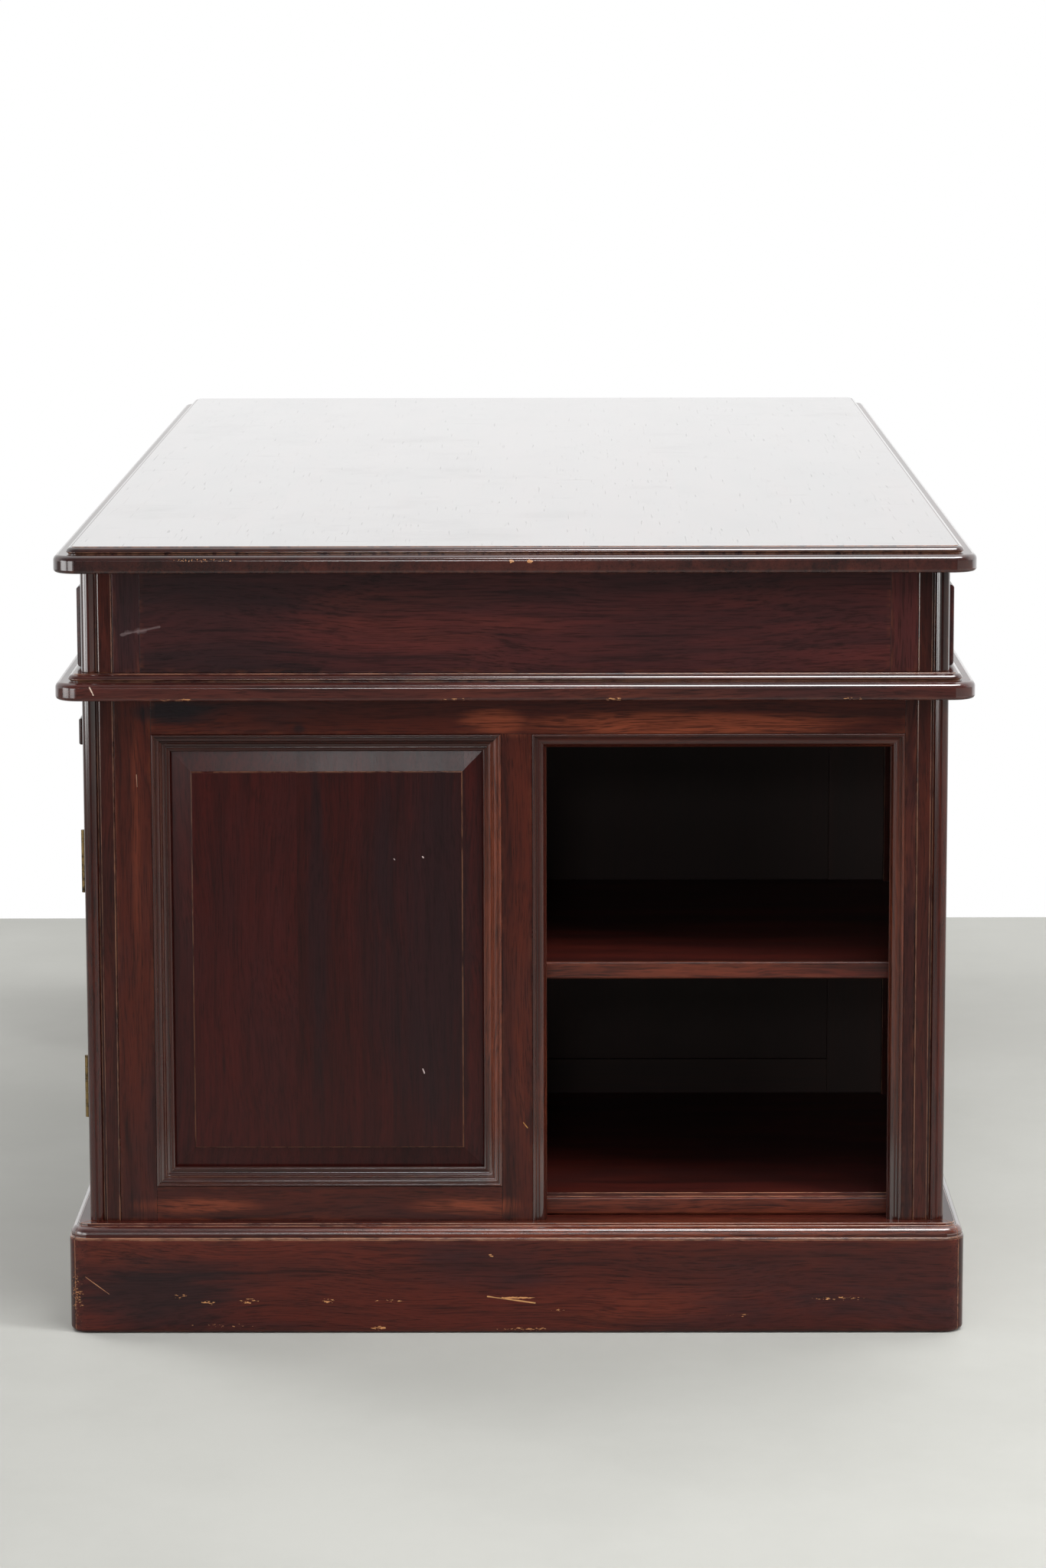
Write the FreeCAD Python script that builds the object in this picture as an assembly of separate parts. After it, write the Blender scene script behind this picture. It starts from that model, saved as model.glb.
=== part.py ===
import FreeCAD, Part
import os
from math import sqrt
from FreeCAD import Vector

# A partners desk. X runs along the desk, Y across it, Z up; the origin is on the floor in the middle.
# The right pedestal stands at +X with its cupboard door on the front, -Y. The left pedestal is the
# same piece turned half round about Z, so its door is on the back. Millimetres throughout.

# Overall plan
desk_length = 1800.0
desk_depth = 900.0
pedestal_length = 500.0
slab_overhang = 25.0
plinth_overhang = 20.0

# Heights, from the floor up
plinth_board_height = 95.0
plinth_cap_height = 15.0
pedestal_height = 526.0
waist_thickness = 25.0
frieze_height = 100.0
top_thickness = 25.0

# Edge of the two kinds of slab: an ovolo, a neck and a bullnose, seen from the top down
field_corner_radius = 5.5
slab_ovolo_reach = 6.0
slab_neck_depth = 2.0
slab_shelf_reach = 9.0
slab_nose_radius = 5.5
field_step = 0.8
slab_ovolo_drop = 4.5
slab_neck_drop = 2.4
nose_under_radius = 3.5

# Plinth
plinth_corner_radius = 20.0
plinth_board_thickness = 24.0
plinth_foot_radius = 5.0
cap_width = 45.0
cap_fillet = 3.0
cap_step = 1.5
cap_ovolo = 6.0

# Corner posts with a quirked bead
post_size = 31.0
bead_radius = 8.0
quirk_depth = 3.5
quirk_gap = 1.3
arris = 0.8

# Joinery shared by all the panelled faces
frame_thickness = 20.0
moulding_width = 18.0
moulding_depth = 12.0
moulding_bead = 1.5
# Shares of the moulding's width and depth: ovolo, step, second ovolo, inner bead
moulding_profile = [
    (0.45, 0.35, 1), (0.45, 0.45), (0.52, 0.45), (0.8, 0.68, -1), (0.8, 0.6), (0.9, 0.6), (1, 0.75, 1),
]
panel_bevel = 20.5
panel_bevel_rise = 4.0
panel_field_step = 1.8
panel_tongue = 10.0

# End face: the panel on the left of it, the open niche on the right
end_stile = 36.5
end_panel_width = 343.5
muntin_width = 30.5
niche_stile = 11.5
top_rail_height = 36.0
bottom_rail_height = 35.0
niche_moulding_width = 14.0
niche_moulding_depth = 10.0
niche_ovolo_drop = 6.0
niche_arris_drop = 1.5

# Inside the pedestal
floor_thickness = 22.0
floor_fillet = 4.0
nose_radius = 3.0
nose_setback = 22.0
divider_thickness = 18.0
divider_setback = 6.5
niche_shelf_thickness = 17.5
niche_shelf_rise = 236.0
cupboard_shelf_thickness = 16.0
cupboard_shelf_rise = 213.0
cupboard_shelf_setback = 30.0

# Kneehole side and the fixed long side
knee_stile = 59.0
knee_muntin = 56.0
knee_top_rail = 56.0
knee_bottom_rail = 59.0
knee_panel_thickness = 9.0
side_stile = 50.0

# Writing slide and the rails round it
slide_rail_height = 11.0
slide_front_height = 26.0
slide_front_thickness = 20.0
slide_front_proud = 6.0
slide_board_thickness = 20.0
slide_back_gap = 23.0
slide_top_rail = 23.0
slide_side_gap = 2.0
slide_front_lift = 1.0
slide_clearance = 0.5
bearer_thickness = 9.0
slide_knob_radius = 7.0
slide_knob_reach = 11.0
slide_knob_spacing = 120.0

# Cupboard door and its butt hinges
door_gap = 2.0
door_edge_gap = 1.5
door_stile = 45.0
door_knob_radius = 13.0
door_knob_reach = 20.0
door_knob_rise = 248.5
hinge_height = 63.0
lower_hinge_rise = 97.5
upper_hinge_drop = 71.5
hinge_knuckles = 5
hinge_barrel_radius = 2.6
hinge_pin_radius = 1.3
hinge_bore_clearance = 0.05
hinge_face_gap = 0.2
hinge_leaf_depth = 16.0
knuckle_gap = 0.3

# Frieze and its drawers
frieze_floor_thickness = 10.0
frieze_rail_height = 28.0
frieze_stile = 27.0
partition_thickness = 20.0
guide_height = 25.0
drawer_stile = 14.0
divider_inset = 15.0
drawer_lip = 8.0
lip_lower_gap = 1.0
lip_thickness = 7.0
lip_radius = 4.0
drawer_rebate = 14.0
drawer_side_gap = 1.0
drawer_clearance = 0.5
drawer_side_thickness = 10.0
drawer_side_drop = 8.0
drawer_back_gap = 11.0
drawer_bottom_thickness = 6.0
drawer_bottom_lift = 6.0
drawer_knob_radius = 15.0
drawer_knob_reach = 18.0
middle_knob_inset = 170.0

# Turned knobs, as shares of radius and reach: foot, neck and flattened ball
knob_profile = [
    (0, 0), (0.6, 0), (0.6, 0.1), (0.45, 0.35, 1), (0.78, 0.4), (1, 0.62, -1), (0.54, 1, -1), (0, 1),
]
edge_tolerance = 0.01

# How far a cutting shape runs past what it cuts
overcut = 1.0

# Levels and faces that follow from the sizes above
cap_level = plinth_board_height + plinth_cap_height
waist_level = cap_level + pedestal_height
frieze_level = waist_level + waist_thickness
top_level = frieze_level + frieze_height
end_face = desk_length / 2 - slab_overhang
side_face = desk_depth / 2 - slab_overhang
knee_face = end_face - pedestal_length
end_inner = end_face - frame_thickness
knee_inner = knee_face + frame_thickness
side_inner = side_face - frame_thickness
post_inner_end = end_face - post_size
post_inner_knee = knee_face + post_size
post_inner_side = side_face - post_size
floor_level = cap_level + floor_thickness
niche_left = -post_inner_side + end_stile + end_panel_width + muntin_width
niche_right = post_inner_side - niche_stile
niche_wall = niche_left - divider_setback
cupboard_wall = niche_wall - divider_thickness
slide_top = waist_level - slide_top_rail
slide_level = slide_top - slide_front_height - 3 * slide_front_lift
door_top = slide_level - slide_rail_height - door_edge_gap
door_bottom = cap_level + door_edge_gap
niche_shelf_level = floor_level + niche_shelf_rise
cupboard_shelf_level = floor_level + cupboard_shelf_rise
divider_place = knee_face - divider_inset
hinge_levels = (door_bottom + lower_hinge_rise, door_top - upper_hinge_drop - hinge_height)
quarter_turn = (sqrt(2) - 1) / 2


def box(x0, x1, y0, y1, z0, z1):
    return Part.makeBox(x1 - x0, y1 - y0, z1 - z0, Vector(x0, y0, z0))


def section(outline, to_vector):
    """A closed face; each step is (a, b, curve): curve 1 or -1 makes the way there a quarter round."""
    edges = []
    for start, step in zip(outline, outline[1:] + outline[:1]):
        a0, b0, a1, b1 = start[0], start[1], step[0], step[1]
        curve = step[2] if len(step) > 2 else 0
        if curve:
            middle_a = (a0 + a1) / 2 - curve * quarter_turn * (b1 - b0)
            middle_b = (b0 + b1) / 2 + curve * quarter_turn * (a1 - a0)
            arc = Part.Arc(to_vector(a0, b0), to_vector(middle_a, middle_b), to_vector(a1, b1))
            edges.append(arc.toShape())
        else:
            edges.append(Part.LineSegment(to_vector(a0, b0), to_vector(a1, b1)).toShape())
    return Part.Face(Part.Wire(edges))


def turned(shape, angle, x=0.0, y=0.0):
    """A copy turned about Z and then moved in plan."""
    copy = shape.copy()
    copy.rotate(Vector(0, 0, 0), Vector(0, 0, 1), angle)
    copy.translate(Vector(x, y, 0))
    return copy


def moulded_block(x0, x1, y0, y1, radius, outline):
    """A block whose sides and rounded corners all carry the outline of (reach from corner centre, z)."""
    levels = [step[1] for step in outline]
    face = section(outline, lambda reach, z: Vector(reach, 0, z))
    corner = face.revolve(Vector(0, 0, 0), Vector(0, 0, 1), 90)
    inner = (x0 + radius, x1 - radius, y0 + radius, y1 - radius)
    corners = [
        turned(corner, 0, inner[1], inner[3]),
        turned(corner, 90, inner[0], inner[3]),
        turned(corner, 180, inner[0], inner[2]),
        turned(corner, 270, inner[1], inner[2]),
    ]
    across = face.extrude(Vector(0, inner[3] - inner[2], 0))
    along = face.extrude(Vector(0, inner[1] - inner[0], 0))
    sides = [
        turned(across, 0, inner[1], inner[2]),
        turned(across, 180, inner[0], inner[3]),
        turned(along, 90, inner[1], inner[3]),
        turned(along, 270, inner[0], inner[2]),
    ]
    core = box(*inner, min(levels), max(levels))
    return core.multiFuse(corners + sides).removeSplitter()


def slab(x0, x1, y0, y1, bottom, thickness):
    """A board with the desk's slab edge worked on all four sides."""
    ovolo_start = field_corner_radius
    ovolo_end = ovolo_start + slab_ovolo_reach
    neck = ovolo_end - slab_neck_depth
    nose_start = neck + slab_shelf_reach
    radius = nose_start + slab_nose_radius
    top = bottom + thickness
    ovolo_level = top - field_step - slab_ovolo_drop
    shelf_level = ovolo_level - slab_neck_drop
    nose_under = radius - nose_under_radius
    outline = [
        (0, top),
        (ovolo_start, top),
        (ovolo_start, top - field_step),
        (ovolo_end, ovolo_level, 1),
        (neck, ovolo_level - slab_neck_drop / 2),
        (neck, shelf_level),
        (nose_start, shelf_level),
        (radius, shelf_level - slab_nose_radius, 1),
        (radius, bottom + nose_under_radius),
        (nose_under, bottom, 1),
        (0, bottom),
    ]
    return moulded_block(x0, x1, y0, y1, radius, outline)


def ring_quarters(block, x0, x1, y0, y1, width, bottom, height):
    """The four mitred lengths of a frame, cut from a block of the given bounds."""
    inner = box(x0 + width, x1 - width, y0 + width, y1 - width,
                bottom - overcut, bottom + height + overcut)
    ring = block.cut(inner)
    corners = [(x0, y0), (x1, y0), (x1, y1), (x0, y1)]
    insets = [(x0 + width, y0 + width), (x1 - width, y0 + width),
              (x1 - width, y1 - width), (x0 + width, y1 - width)]
    lengths = []
    for side in range(4):
        after = (side + 1) % 4
        plan = [corners[side], corners[after], insets[after], insets[side], corners[side]]
        wire = Part.makePolygon([Vector(x, y, bottom - overcut) for x, y in plan])
        wedge = Part.Face(wire).extrude(Vector(0, 0, height + 2 * overcut))
        lengths.append(ring.common(wedge))
    return lengths


def plinth():
    """Mitred boards with rounded corners, and the moulded cap frame that the pedestal stands on."""
    bounds = (knee_face - plinth_overhang, end_face + plinth_overhang,
              -side_face - plinth_overhang, side_face + plinth_overhang)
    radius = plinth_corner_radius
    board = [
        (0, plinth_board_height),
        (radius, plinth_board_height),
        (radius, plinth_foot_radius),
        (radius - plinth_foot_radius, 0, 1),
        (0, 0),
    ]
    boards = moulded_block(*bounds, radius, board)
    fillet_level = cap_level - cap_fillet
    ovolo_top = radius - cap_step - cap_ovolo
    cap = [
        (0, cap_level),
        (ovolo_top - cap_step, cap_level),
        (ovolo_top - cap_step, fillet_level),
        (ovolo_top, fillet_level),
        (radius - cap_step, plinth_board_height + cap_fillet, 1),
        (radius - cap_step, plinth_board_height + cap_step),
        (radius, plinth_board_height + cap_step),
        (radius, plinth_board_height),
        (0, plinth_board_height),
    ]
    cap_block = moulded_block(*bounds, radius, cap)
    return (ring_quarters(boards, *bounds, plinth_board_thickness, 0, plinth_board_height)
            + ring_quarters(cap_block, *bounds, cap_width, plinth_board_height, plinth_cap_height))


def corner_posts(x0, x1, bottom, height):
    """Four square posts whose outer corner is a bead between two quirks."""
    bead_far = bead_radius + sqrt(bead_radius ** 2 - (bead_radius - quirk_depth) ** 2)
    bead_near = bead_radius - bead_radius / sqrt(2)
    quirk_end = 2 * bead_radius + quirk_gap
    line = [
        (post_size, post_size), (post_size, arris), (post_size - arris, 0), (quirk_end, 0),
        (quirk_end, quirk_depth), (bead_far, quirk_depth),
    ]
    mirrored = [(v, u) for u, v in line[1:]]
    points = [Vector(u, v, bottom) for u, v in line]
    back_points = [Vector(u, v, bottom) for u, v in reversed(mirrored)] + [points[0]]
    bead = Part.Arc(points[-1], Vector(bead_near, bead_near, bottom), back_points[0]).toShape()
    edges = Part.makePolygon(points).Edges + [bead] + Part.makePolygon(back_points).Edges
    post = Part.Face(Part.Wire(edges)).extrude(Vector(0, 0, height))
    return [
        turned(post, 0, x0, -side_face),
        turned(post, 90, x1, -side_face),
        turned(post, 180, x1, side_face),
        turned(post, 270, x0, side_face),
    ]


# Panelled faces are drawn looking at the face from outside: x to the right, z up, the face at y = 0
# and the outside at negative y. They are then turned and moved to their side of the pedestal.

def member(x0, x1, z0, z1, thickness=frame_thickness):
    return box(x0, x1, 0, thickness, z0, z1)


def mitred_lengths(x0, x1, z0, z1, width, outline, sides):
    """Moulding lengths round the inside of a rectangle; outline is (distance in, height out)."""
    inner = [(x0 + width, z0 + width), (x0 + width, z1 - width),
             (x1 - width, z1 - width), (x1 - width, z0 + width)]
    outer = [(x0, z0), (x0, z1), (x1, z1), (x1, z0)]
    if "bottom" not in sides:
        inner[0] = (x0 + width, z0)
        inner[3] = (x1 - width, z0)
    upright = section(outline, lambda a, d: Vector(a, -d, z0)).extrude(Vector(0, 0, z1 - z0))
    level = section(outline, lambda a, d: Vector(x0, -d, a)).extrude(Vector(x1 - x0, 0, 0))
    mirror_level = level.mirror(Vector(0, 0, 0), Vector(0, 0, 1))
    mirror_upright = upright.mirror(Vector(0, 0, 0), Vector(1, 0, 0))
    full = {
        "left": (upright.translated(Vector(x0, 0, 0)), 0),
        "top": (mirror_level.translated(Vector(0, 0, z1)), 1),
        "right": (mirror_upright.translated(Vector(x1, 0, 0)), 2),
        "bottom": (level.translated(Vector(0, 0, z0)), 3),
    }
    reach = 4 * frame_thickness
    lengths = []
    for name in sides:
        strip, index = full[name]
        after = (index + 1) % 4
        plan = [outer[index], outer[after], inner[after], inner[index], outer[index]]
        wire = Part.makePolygon([Vector(x, -reach, z) for x, z in plan])
        lengths.append(strip.common(Part.Face(wire).extrude(Vector(0, 2 * reach, 0))))
    return lengths


def panel_mouldings(x0, x1, z0, z1):
    """A bolection-like run: outer bead, quirk, ovolo, step, second ovolo and inner bead."""
    width = moulding_width
    quirk = 2 * moulding_bead
    outline = [
        (0, 0),
        (moulding_bead, moulding_bead, 1),
        (quirk, 0, 1),
        (quirk, -moulding_bead),
    ]
    outline += [(width * across, -moulding_depth * deep, *curve)
                for across, deep, *curve in moulding_profile]
    outline += [(width, -moulding_depth), (0, -moulding_depth)]
    return mitred_lengths(x0, x1, z0, z1, width, outline, ("left", "top", "right", "bottom"))


def niche_mouldings(x0, x1, z0, z1):
    """The lighter run on three sides of the niche: outer bead, quirk and a long ovolo."""
    width = niche_moulding_width
    depth = niche_moulding_depth
    quirk = 2 * moulding_bead
    outline = [
        (0, 0),
        (moulding_bead, moulding_bead, 1),
        (quirk, 0, 1),
        (quirk, -moulding_bead),
        (quirk + moulding_bead, -moulding_bead),
        (width - moulding_bead, -niche_ovolo_drop, 1),
        (width, -niche_ovolo_drop - niche_arris_drop),
        (width, -depth),
        (0, -depth),
    ]
    return mitred_lengths(x0, x1, z0, z1, width, outline, ("left", "top", "right"))


def fielded_panel(x0, x1, z0, z1):
    """A panel held behind its mouldings, with a bevel rising to a raised field."""
    border = moulding_width - panel_tongue
    tongue = member(x0 + border, x1 - border, z0 + border, z1 - border)
    tongue = tongue.common(box(x0, x1, moulding_depth, frame_thickness, z0, z1))
    bevel_back = moulding_depth
    bevel_front = bevel_back - panel_bevel_rise
    margin = moulding_width
    rings = []
    for inset, depth in ((margin, bevel_back), (margin + panel_bevel, bevel_front)):
        corners = [(x0 + inset, z0 + inset), (x1 - inset, z0 + inset),
                   (x1 - inset, z1 - inset), (x0 + inset, z1 - inset), (x0 + inset, z0 + inset)]
        rings.append(Part.makePolygon([Vector(x, depth, z) for x, z in corners]))
    bevel = Part.makeLoft(rings, True, True)
    inset = margin + panel_bevel
    field = box(x0 + inset, x1 - inset, bevel_front - panel_field_step, bevel_front,
                z0 + inset, z1 - inset)
    return tongue.multiFuse([bevel, field]).removeSplitter()


def facing_end(shape):
    return turned(shape, 90, end_face, 0)


def facing_back(shape):
    return turned(shape, 180, (knee_face + end_face) / 2, side_face)


def facing_front(shape):
    return turned(shape, 0, (knee_face + end_face) / 2, -side_face)


def facing_knee(shape):
    return turned(shape, 270, knee_face, 0)


def eased(shape, x_side, z0, z1):
    """A small chamfer up the edge of a stile, which makes a groove against the post."""
    sign = 1 if x_side < 0 else -1
    corner = [(x_side, 0), (x_side + sign * arris, 0), (x_side, arris), (x_side, 0)]
    wire = Part.makePolygon([Vector(x, y, z0) for x, y in corner])
    return shape.cut(Part.Face(wire).extrude(Vector(0, 0, z1 - z0)))


def end_frame():
    edge = post_inner_side
    panel_left = -edge + end_stile
    panel_right = panel_left + end_panel_width
    rail_level = waist_level - top_rail_height
    members = [
        eased(member(-edge, panel_left, cap_level, waist_level), -edge, cap_level, waist_level),
        eased(member(niche_right, edge, cap_level, waist_level), edge, cap_level, waist_level),
        member(panel_right, niche_left, cap_level, rail_level),
        member(panel_left, niche_right, rail_level, waist_level),
        member(panel_left, panel_right, cap_level, cap_level + bottom_rail_height),
    ]
    return [facing_end(piece) for piece in members]


def end_mouldings():
    panel_left = -post_inner_side + end_stile
    panel_right = panel_left + end_panel_width
    rail_level = waist_level - top_rail_height
    pieces = panel_mouldings(panel_left, panel_right, cap_level + bottom_rail_height, rail_level)
    pieces += niche_mouldings(niche_left, niche_right, cap_level, rail_level)
    return [facing_end(piece) for piece in pieces]


def end_panel():
    panel_left = -post_inner_side + end_stile
    panel_right = panel_left + end_panel_width
    rail_level = waist_level - top_rail_height
    return [facing_end(fielded_panel(panel_left, panel_right, cap_level + bottom_rail_height, rail_level))]


def side_frame():
    """The fixed panelled long side, with its mouldings."""
    edge = pedestal_length / 2 - post_size
    opening = edge - side_stile
    rail_level = waist_level - top_rail_height
    sill = cap_level + bottom_rail_height
    members = [
        eased(member(-edge, -opening, cap_level, waist_level), -edge, cap_level, waist_level),
        eased(member(opening, edge, cap_level, waist_level), edge, cap_level, waist_level),
        member(-opening, opening, rail_level, waist_level),
        member(-opening, opening, cap_level, sill),
    ]
    members += panel_mouldings(-opening, opening, sill, rail_level)
    return [facing_back(piece) for piece in members]


def side_panel():
    opening = pedestal_length / 2 - post_size - side_stile
    rail_level = waist_level - top_rail_height
    return [facing_back(fielded_panel(-opening, opening, cap_level + bottom_rail_height, rail_level))]


def knee_frame():
    edge = post_inner_side
    opening = edge - knee_stile
    middle = knee_muntin / 2
    rail_level = waist_level - knee_top_rail
    sill = cap_level + knee_bottom_rail
    members = [
        eased(member(-edge, -opening, cap_level, waist_level), -edge, cap_level, waist_level),
        eased(member(opening, edge, cap_level, waist_level), edge, cap_level, waist_level),
        member(-middle, middle, sill, rail_level),
        member(-opening, opening, rail_level, waist_level),
        member(-opening, opening, cap_level, sill),
    ]
    return [facing_knee(piece) for piece in members]


def knee_panels():
    """Two plain boards set in the middle of the frame's thickness."""
    opening = post_inner_side - knee_stile
    middle = knee_muntin / 2
    rail_level = waist_level - knee_top_rail
    sill = cap_level + knee_bottom_rail
    inset = (frame_thickness - knee_panel_thickness) / 2
    panels = []
    for x0, x1 in ((-opening, -middle), (middle, opening)):
        board = member(x0, x1, sill, rail_level, knee_panel_thickness)
        panels.append(facing_knee(board.translated(Vector(0, inset, 0))))
    return panels


def clear_of_posts(board, x0, x1):
    """The board notched round the four posts at the corners of the plan."""
    for left in (x0, x1 - post_size):
        for front in (-side_face, post_inner_side):
            board = board.cut(box(left, left + post_size, front, front + post_size, 0, top_level))
    return board


def pedestal_floor():
    """The floor board; its edge towards the end is a nose under a small fillet."""
    front = end_face - nose_setback
    nose_level = floor_level - floor_fillet
    outline = [
        (knee_inner, cap_level),
        (knee_inner, floor_level),
        (front - floor_fillet, floor_level),
        (front - floor_fillet, nose_level),
        (front - nose_radius, nose_level),
        (front, nose_level - nose_radius, 1),
        (front, cap_level + nose_radius),
        (front - nose_radius, cap_level, 1),
    ]
    board = section(outline, lambda x, z: Vector(x, -side_inner, z))
    return [clear_of_posts(board.extrude(Vector(0, 2 * side_inner, 0)), knee_face, end_face)]


def niche_shelf():
    """Full-depth shelf, with a rounded front edge in line with the floor's nose."""
    front = end_face - nose_setback
    bottom = niche_shelf_level - niche_shelf_thickness
    outline = [
        (knee_inner, bottom),
        (knee_inner, niche_shelf_level),
        (front - nose_radius, niche_shelf_level),
        (front, niche_shelf_level - nose_radius, 1),
        (front, bottom + nose_radius),
        (front - nose_radius, bottom, 1),
    ]
    board = section(outline, lambda x, z: Vector(x, niche_wall, z))
    board = board.extrude(Vector(0, side_inner - niche_wall, 0))
    return [clear_of_posts(board, knee_face, end_face)]


def divider():
    return [box(knee_inner, end_inner, cupboard_wall, niche_wall, floor_level, waist_level)]


def cupboard_shelf():
    bottom = cupboard_shelf_level - cupboard_shelf_thickness
    front = -side_inner + cupboard_shelf_setback
    return [box(knee_inner, end_inner, front, cupboard_wall, bottom, cupboard_shelf_level)]


def slide_case():
    """Rails over and under the slide, the board that it runs on, and a guide at each side."""
    front, back = -side_face, -post_inner_side
    rail_bottom = slide_level - slide_rail_height
    guide_edge = slide_half_width() + slide_side_gap
    centre = (knee_face + end_face) / 2
    return [
        box(post_inner_knee, post_inner_end, front, back, slide_top, waist_level),
        box(post_inner_knee, post_inner_end, front, back, rail_bottom, slide_level),
        box(knee_inner, end_inner, back, cupboard_wall, slide_level - bearer_thickness, slide_level),
        box(knee_inner, centre - guide_edge, back, cupboard_wall, slide_level, slide_top),
        box(centre + guide_edge, end_inner, back, cupboard_wall, slide_level, slide_top),
    ]


def slide_half_width():
    return pedestal_length / 2 - post_size - slide_side_gap


def knob(radius, reach, x, y, z):
    """A turned knob standing out along -Y from a face at y."""
    outline = [(radius * out, reach * forward, *curve) for out, forward, *curve in knob_profile]
    face = section(outline, lambda r, d: Vector(x + r, y - d, z))
    return face.revolve(Vector(x, y, z), Vector(0, 1, 0), 360)


def rounded_front(board, front, radius):
    """The board with the four edges of its face at y = front rounded over."""
    edges = [edge for edge in board.Edges
             if max(abs(edge.BoundBox.YMin - front), abs(edge.BoundBox.YMax - front)) < edge_tolerance]
    return board.makeFillet(radius, edges)


def slide():
    """The writing slide: a board with a proud edge strip across its end and two small knobs."""
    centre = (knee_face + end_face) / 2
    half = slide_half_width()
    bottom = slide_level + slide_clearance
    strip_bottom = slide_level + slide_front_lift
    front = -side_face - slide_front_proud
    strip_back = front + slide_front_thickness
    board_back = cupboard_wall - slide_back_gap
    strip_top = strip_bottom + slide_front_height
    strip = box(centre - half, centre + half, front, strip_back, strip_bottom, strip_top)
    strip = rounded_front(strip, front, lip_radius / 2)
    board = box(centre - half + slide_side_gap, centre + half - slide_side_gap,
                strip_back, board_back, bottom, bottom + slide_board_thickness)
    knob_level = (strip_bottom + strip_top) / 2
    knobs = [knob(slide_knob_radius, slide_knob_reach, centre + side * slide_knob_spacing / 2,
                  front, knob_level) for side in (-1, 1)]
    return [board, strip] + knobs


def door_bounds():
    half = pedestal_length / 2 - post_size - door_gap
    return -half, half, door_bottom, door_top


def door_frame():
    x0, x1, z0, z1 = door_bounds()
    left, right, sill, head = x0 + door_stile, x1 - door_stile, z0 + door_stile, z1 - door_stile
    pieces = [
        member(x0, left, z0, z1),
        member(right, x1, z0, z1),
        member(left, right, head, z1),
        member(left, right, z0, sill),
    ]
    pieces += panel_mouldings(left, right, sill, head)
    pieces.append(knob(door_knob_radius, door_knob_reach, (x0 + left) / 2, 0, z0 + door_knob_rise))
    return [facing_front(piece) for piece in pieces]


def door_panel():
    x0, x1, z0, z1 = door_bounds()
    panel = fielded_panel(x0 + door_stile, x1 - door_stile, z0 + door_stile, z1 - door_stile)
    return [facing_front(panel)]


def hinge_axis():
    """Where the hinge pins stand: in the gap beside the post, just outside the face."""
    return post_inner_end - door_gap / 2, -side_face - hinge_barrel_radius - hinge_face_gap


def hinge_half(level, knuckles, leaf_side):
    """One leaf with its share of the knuckles; leaf_side 1 is on the post, -1 on the door."""
    axis_x, axis_y = hinge_axis()
    leaf = (door_gap - hinge_face_gap) / 2
    leaf_x = sorted((axis_x + leaf_side * hinge_face_gap / 2,
                     axis_x + leaf_side * (hinge_face_gap / 2 + leaf)))
    leaf_back = -side_face + hinge_leaf_depth
    clear_of_barrel = axis_y + hinge_barrel_radius + hinge_face_gap
    pieces = [box(*leaf_x, clear_of_barrel, leaf_back, level, level + hinge_height)]
    pitch = hinge_height / hinge_knuckles
    for index in knuckles:
        low = level + index * pitch + knuckle_gap / 2
        high = level + (index + 1) * pitch - knuckle_gap / 2
        barrel = Part.makeCylinder(hinge_barrel_radius, high - low, Vector(axis_x, axis_y, low))
        web = box(*leaf_x, axis_y, clear_of_barrel, low, high)
        pieces += [barrel, web]
    return pieces[0].multiFuse(pieces[1:]).removeSplitter()


def hinge_post_halves():
    """The leaves on the post, each in one piece with its hinge pin."""
    axis_x, axis_y = hinge_axis()
    halves = []
    for level in hinge_levels:
        start = Vector(axis_x, axis_y, level + knuckle_gap / 2)
        pin = Part.makeCylinder(hinge_pin_radius, hinge_height - knuckle_gap, start)
        halves.append(hinge_half(level, (0, 2, 4), 1).fuse(pin).removeSplitter())
    return halves


def hinge_door_halves():
    axis_x, axis_y = hinge_axis()
    halves = []
    for level in hinge_levels:
        bore = Part.makeCylinder(hinge_pin_radius + hinge_bore_clearance, hinge_height,
                                 Vector(axis_x, axis_y, level))
        halves.append(hinge_half(level, (1, 3), -1).cut(bore))
    return halves


def frieze_end():
    """A level board between two short stiles, flush with the posts."""
    edge = post_inner_side
    inner = edge - frieze_stile
    pieces = [
        eased(member(-edge, -inner, frieze_level, top_level), -edge, frieze_level, top_level),
        member(-inner, inner, frieze_level, top_level),
        eased(member(inner, edge, frieze_level, top_level), edge, frieze_level, top_level),
    ]
    return [facing_end(piece) for piece in pieces]


def frieze_rails():
    """The rail over the drawers, between the posts of each long side."""
    bottom = top_level - frieze_rail_height
    rail = box(-post_inner_end, post_inner_end, -side_face, -post_inner_side, bottom, top_level)
    return [rail, turned(rail, 180)]


def frieze_floor():
    board = box(-end_inner, end_inner, -side_face, side_face, frieze_level, drawer_floor())
    return [clear_of_posts(board, -end_face, end_face)]


def drawer_floor():
    return frieze_level + frieze_floor_thickness


def frieze_partitions():
    """The spine, a divider each side of the middle drawers, and a guide beside each outer drawer."""
    low, high = drawer_floor(), top_level
    rail_bottom = top_level - frieze_rail_height
    half = partition_thickness / 2
    pieces = [box(-end_inner, end_inner, -half, half, low, high)]
    for x in (-divider_place, divider_place):
        board = box(x - half, x + half, -side_face, -half, low, high)
        board = board.cut(box(x - half, x + half, -side_face, -post_inner_side, rail_bottom, high))
        pieces += [board, turned(board, 180)]
    edge = post_inner_end - drawer_stile
    stile = box(edge, post_inner_end, -side_face, -post_inner_side, low, rail_bottom)
    strip = box(edge, end_inner, -post_inner_side, -half, low, low + guide_height)
    guide = stile.fuse(strip).removeSplitter()
    facing = guide.mirror(Vector(0, 0, 0), Vector(1, 0, 0))
    return pieces + [guide, facing, turned(guide, 180), turned(facing, 180)]


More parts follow.
